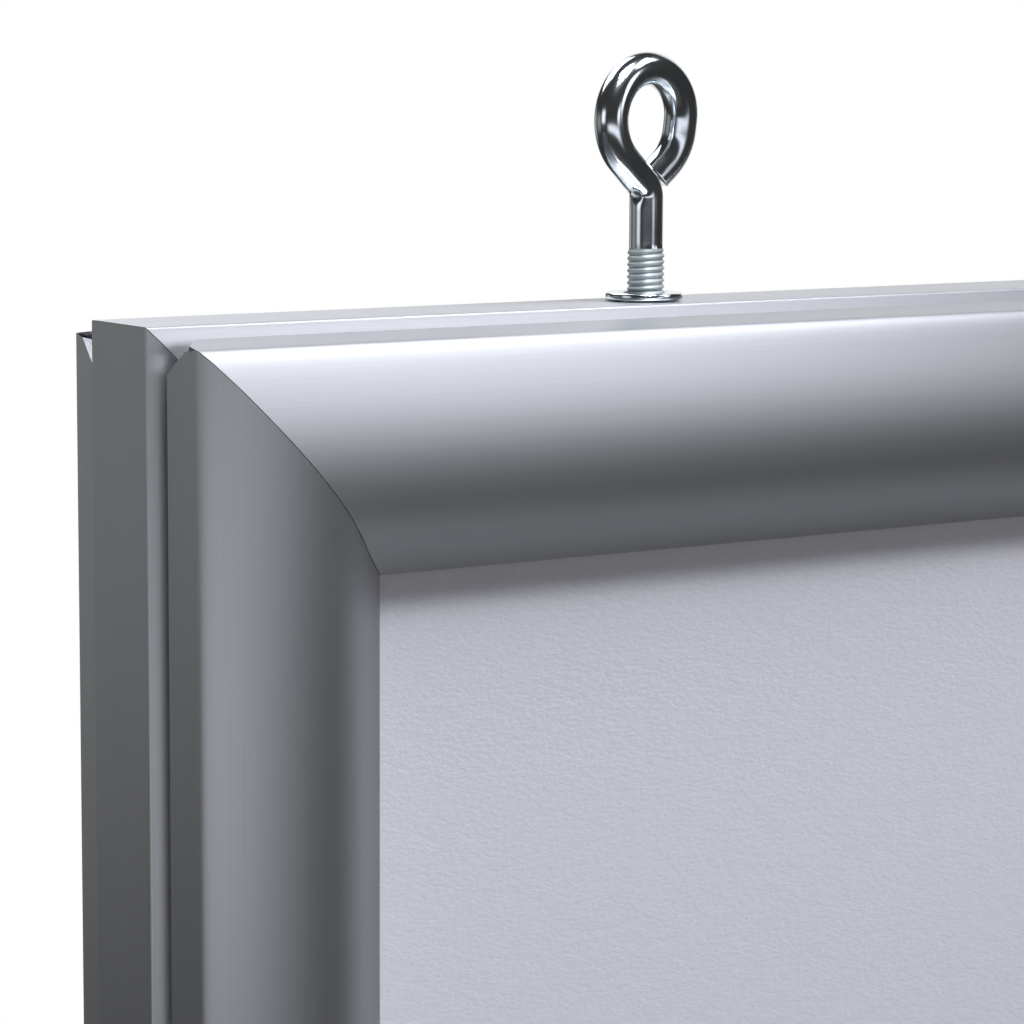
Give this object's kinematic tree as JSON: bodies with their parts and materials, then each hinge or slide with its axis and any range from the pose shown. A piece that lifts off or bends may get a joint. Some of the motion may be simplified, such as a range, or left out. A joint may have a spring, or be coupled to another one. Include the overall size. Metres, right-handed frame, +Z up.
{
  "type": "double-sided led snap frame",
  "caption": "Slim double-sided poster light box of mitred aluminium with rails that snap open, light guide and strips inside, hung from eye bolts in its top edge.",
  "frame": {"origin": "hanging point, midway between the two eyes, level with the inner top of each eye where a hook bears", "axes": "+X to the right seen from the front, -Y out of the front face, +Z up"},
  "size_m": [0.48, 0.0456, 0.6951],
  "materials": {
    "anodised_aluminium": "satin anodised, fine extrusion grain along each member",
    "zinc_plated_steel": "bright zinc plate",
    "spring_steel": "rolled strip",
    "black_steel": "black oxide",
    "cast_aluminium": "as cast",
    "clear_acrylic": "polished sheet",
    "opal_acrylic": "satin opal sheet",
    "white_paper": "plain white poster paper",
    "cover_film": "anti-glare sheet, fine matte texture",
    "circuit_board": "white solder mask",
    "black_plastic": "moulded"
  },
  "bodies": {
    "root": {"base_top": "anodised_aluminium", "base_bottom": "anodised_aluminium", "base_left": "anodised_aluminium", "base_right": "anodised_aluminium", "corner_key_top_left": "cast_aluminium", "corner_key_top_right": "cast_aluminium", "corner_key_bottom_left": "cast_aluminium", "corner_key_bottom_right": "cast_aluminium", "key_screw_top_left_a": "black_steel", "key_screw_top_left_b": "black_steel", "key_screw_top_right_a": "black_steel", "key_screw_top_right_b": "black_steel", "key_screw_bottom_left_a": "black_steel", "key_screw_bottom_left_b": "black_steel", "key_screw_bottom_right_a": "black_steel", "key_screw_bottom_right_b": "black_steel", "eye_bolt_left": "zinc_plated_steel", "eye_bolt_right": "zinc_plated_steel", "eye_washer_left": "zinc_plated_steel", "eye_washer_right": "zinc_plated_steel", "eye_nut_left": "zinc_plated_steel", "eye_nut_right": "zinc_plated_steel", "light_guide": "clear_acrylic", "front_diffuser": "opal_acrylic", "back_diffuser": "opal_acrylic", "front_poster": "white_paper", "back_poster": "white_paper", "front_cover": "cover_film", "back_cover": "cover_film", "led_strip_left": "circuit_board", "led_strip_right": "circuit_board", "supply_socket": "black_plastic", "supply_nut": "zinc_plated_steel", "supply_lead_left": "black_plastic", "supply_lead_right": "black_plastic"},
    "front_top_rail": {"front_rail_top": "anodised_aluminium", "spring_front_top_a": "spring_steel", "spring_front_top_b": "spring_steel"},
    "front_bottom_rail": {"front_rail_bottom": "anodised_aluminium", "spring_front_bottom_a": "spring_steel", "spring_front_bottom_b": "spring_steel"},
    "front_left_rail": {"front_rail_left": "anodised_aluminium", "spring_front_left_a": "spring_steel", "spring_front_left_b": "spring_steel"},
    "front_right_rail": {"front_rail_right": "anodised_aluminium", "spring_front_right_a": "spring_steel", "spring_front_right_b": "spring_steel"},
    "back_top_rail": {"back_rail_top": "anodised_aluminium", "spring_back_top_a": "spring_steel", "spring_back_top_b": "spring_steel"},
    "back_bottom_rail": {"back_rail_bottom": "anodised_aluminium", "spring_back_bottom_a": "spring_steel", "spring_back_bottom_b": "spring_steel"},
    "back_left_rail": {"back_rail_left": "anodised_aluminium", "spring_back_left_a": "spring_steel", "spring_back_left_b": "spring_steel"},
    "back_right_rail": {"back_rail_right": "anodised_aluminium", "spring_back_right_a": "spring_steel", "spring_back_right_b": "spring_steel"}
  },
  "joints": [
    {"name": "front_top_hinge", "type": "hinge", "parent": "root", "child": "front_top_rail", "pos_m": [0, -0.01355, -0.04085], "axis": [-1, 0, 0], "range_deg": [0, 90]},
    {"name": "front_bottom_hinge", "type": "hinge", "parent": "root", "child": "front_bottom_rail", "pos_m": [0, -0.01355, -0.68495], "axis": [1, 0, 0], "range_deg": [0, 90]},
    {"name": "front_left_hinge", "type": "hinge", "parent": "root", "child": "front_left_rail", "pos_m": [-0.23505, -0.01355, -0.3629], "axis": [0, 0, -1], "range_deg": [0, 90]},
    {"name": "front_right_hinge", "type": "hinge", "parent": "root", "child": "front_right_rail", "pos_m": [0.23505, -0.01355, -0.3629], "axis": [0, 0, 1], "range_deg": [0, 90]},
    {"name": "back_top_hinge", "type": "hinge", "parent": "root", "child": "back_top_rail", "pos_m": [0, 0.01355, -0.04085], "axis": [1, 0, 0], "range_deg": [0, 90]},
    {"name": "back_bottom_hinge", "type": "hinge", "parent": "root", "child": "back_bottom_rail", "pos_m": [0, 0.01355, -0.68495], "axis": [-1, 0, 0], "range_deg": [0, 90]},
    {"name": "back_left_hinge", "type": "hinge", "parent": "root", "child": "back_left_rail", "pos_m": [-0.23505, 0.01355, -0.3629], "axis": [0, 0, 1], "range_deg": [0, 90]},
    {"name": "back_right_hinge", "type": "hinge", "parent": "root", "child": "back_right_rail", "pos_m": [0.23505, 0.01355, -0.3629], "axis": [0, 0, -1], "range_deg": [0, 90]}
  ]
}
